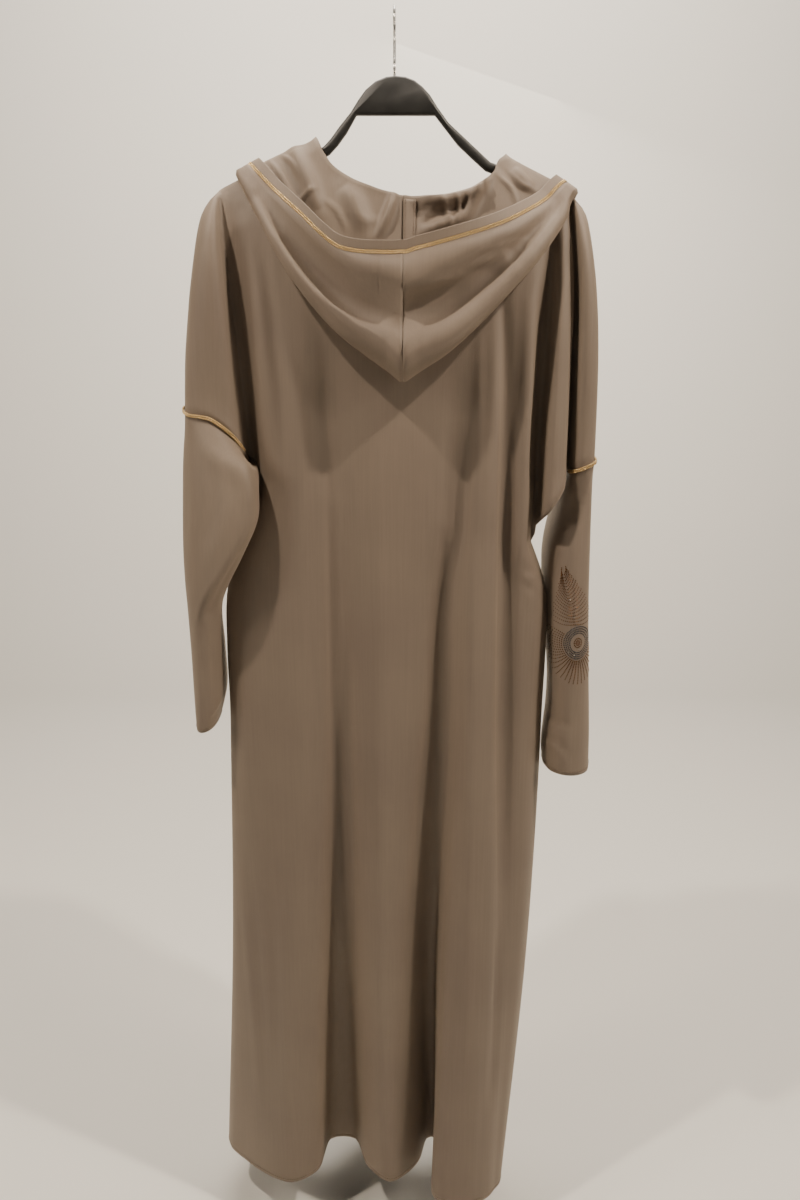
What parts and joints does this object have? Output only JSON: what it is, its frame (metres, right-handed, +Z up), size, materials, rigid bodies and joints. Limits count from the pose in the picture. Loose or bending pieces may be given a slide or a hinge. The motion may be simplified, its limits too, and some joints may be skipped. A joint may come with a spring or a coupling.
{
  "type": "hooded robe on hanger",
  "caption": "Floor-length hooded batwing robe in taupe cloth with gold cord on the hood and elbow seams, hanging open on a plastic clothes hanger.",
  "frame": {"origin": "under the top of the hanger's hook, where it bears on what holds it", "axes": "+Z up along the robe's length, -Y out of the robe's back, +X towards the wearer's right"},
  "size_m": [0.5131, 0.2475, 1.5332],
  "materials": {
    "robe_cloth": "soft matt crepe",
    "gold_cord": "twisted metallic cord",
    "black_plastic": "satin moulded",
    "steel_wire": "drawn wire"
  },
  "bodies": {
    "root": {"back_panel": "robe_cloth", "front_panel": "robe_cloth", "sleeve_left": "robe_cloth", "sleeve_right": "robe_cloth", "hood_left": "robe_cloth", "hood_right": "robe_cloth", "hood_band": "robe_cloth", "hood_cord": "gold_cord", "sleeve_cord_left": "gold_cord", "sleeve_cord_right": "gold_cord", "hanger_body": "black_plastic", "hanger_hook": "steel_wire"}
  },
  "joints": []
}
